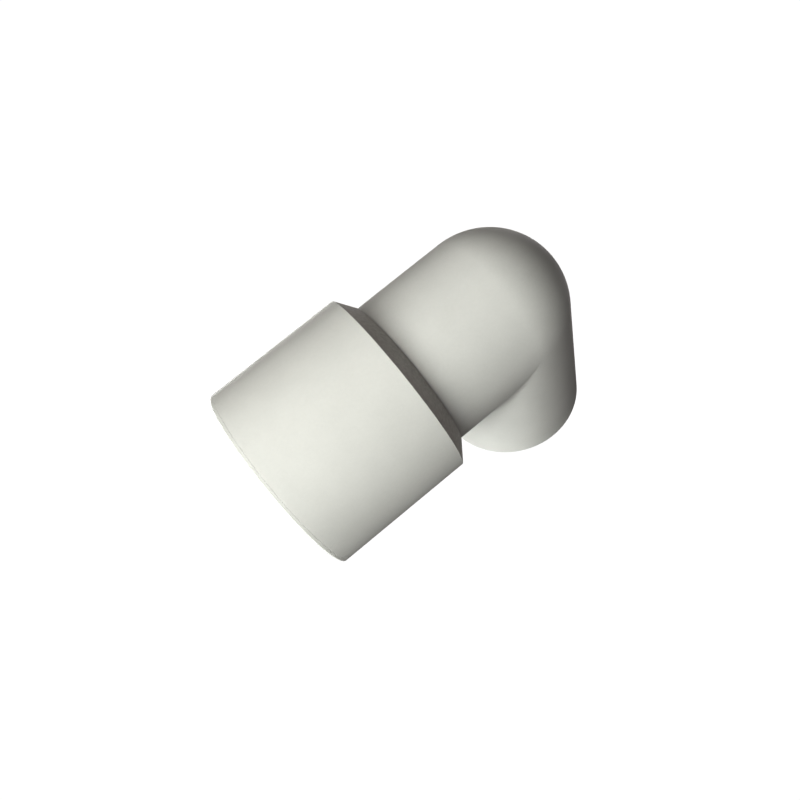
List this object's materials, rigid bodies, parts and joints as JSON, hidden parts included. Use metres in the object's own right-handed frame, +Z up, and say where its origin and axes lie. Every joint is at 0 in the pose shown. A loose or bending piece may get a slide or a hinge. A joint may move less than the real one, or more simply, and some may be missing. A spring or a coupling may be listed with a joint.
{
  "type": "concentric flue elbow",
  "caption": "White right-angle concentric boiler flue elbow: wide push-on collar with conical shoulder, ball heel and mitred throat, grey flue duct centred inside on star spacers.",
  "frame": {"origin": "centre of the collar's mouth, on the collar's axis, in the plane of the mouth's end face", "axes": "+Z up the collar's axis towards the heel, +X along the outlet leg, symmetric about the XZ plane"},
  "size_m": [0.1695, 0.125, 0.2125],
  "materials": {
    "casing": "satin white moulding",
    "collar": "satin white moulding",
    "retainer": "satin white moulding",
    "duct": "light grey polypropylene",
    "spacer": "dark grey plastic",
    "seal": "black moulded rubber"
  },
  "bodies": {
    "root": {"outer_elbow": "casing", "boiler_collar": "collar", "seal_retainer": "retainer", "collar_seal": "seal", "inner_elbow": "duct", "inlet_seal": "seal", "outlet_seal": "seal", "inlet_spacer": "spacer", "outlet_spacer": "spacer"}
  },
  "joints": []
}
